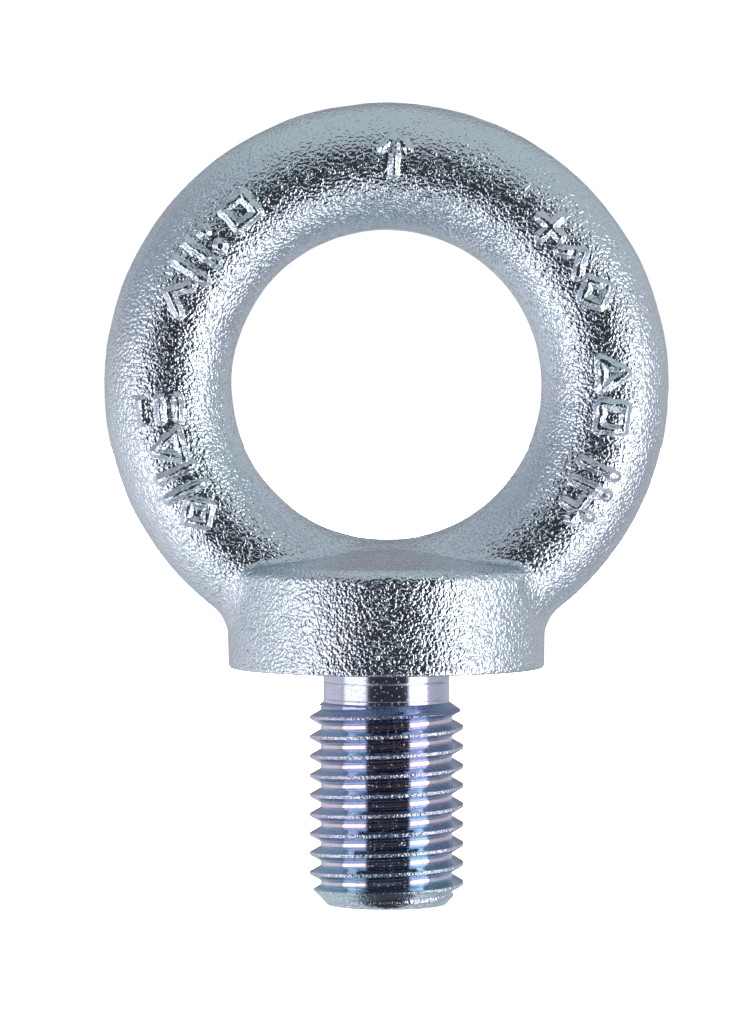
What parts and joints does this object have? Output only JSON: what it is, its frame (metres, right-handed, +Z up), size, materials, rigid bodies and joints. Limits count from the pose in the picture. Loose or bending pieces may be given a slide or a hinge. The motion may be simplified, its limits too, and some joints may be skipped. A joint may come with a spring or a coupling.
{
  "type": "lifting eye bolt",
  "caption": "Forged lifting eye bolt: a closed ring on a round collar with a saddle top, over a relieved neck and a threaded shank.",
  "frame": {"origin": "centre of the collar's flat seat face, on the shank's axis", "axes": "+Z up through the ring, away from the shank; the ring lies in the XZ plane; -Y is the marked front face"},
  "size_m": [0.072, 0.0404, 0.1027],
  "materials": {
    "forged_zinc": "bright zinc over a shot-blasted forging, blue passivated",
    "turned_zinc": "bright zinc over a turned neck and cut thread, faint rainbow tint",
    "raised_marks": "bright zinc on raised forged marks, worn smooth on top"
  },
  "bodies": {
    "root": {"eye_ring": "forged_zinc", "collar": "forged_zinc", "thread_neck": "turned_zinc", "threaded_shank": "turned_zinc", "load_arrow": "raised_marks", "marks_upper_left": "raised_marks", "marks_lower_left": "raised_marks", "marks_upper_right": "raised_marks", "marks_right": "raised_marks", "marks_lower_right": "raised_marks"}
  },
  "joints": []
}
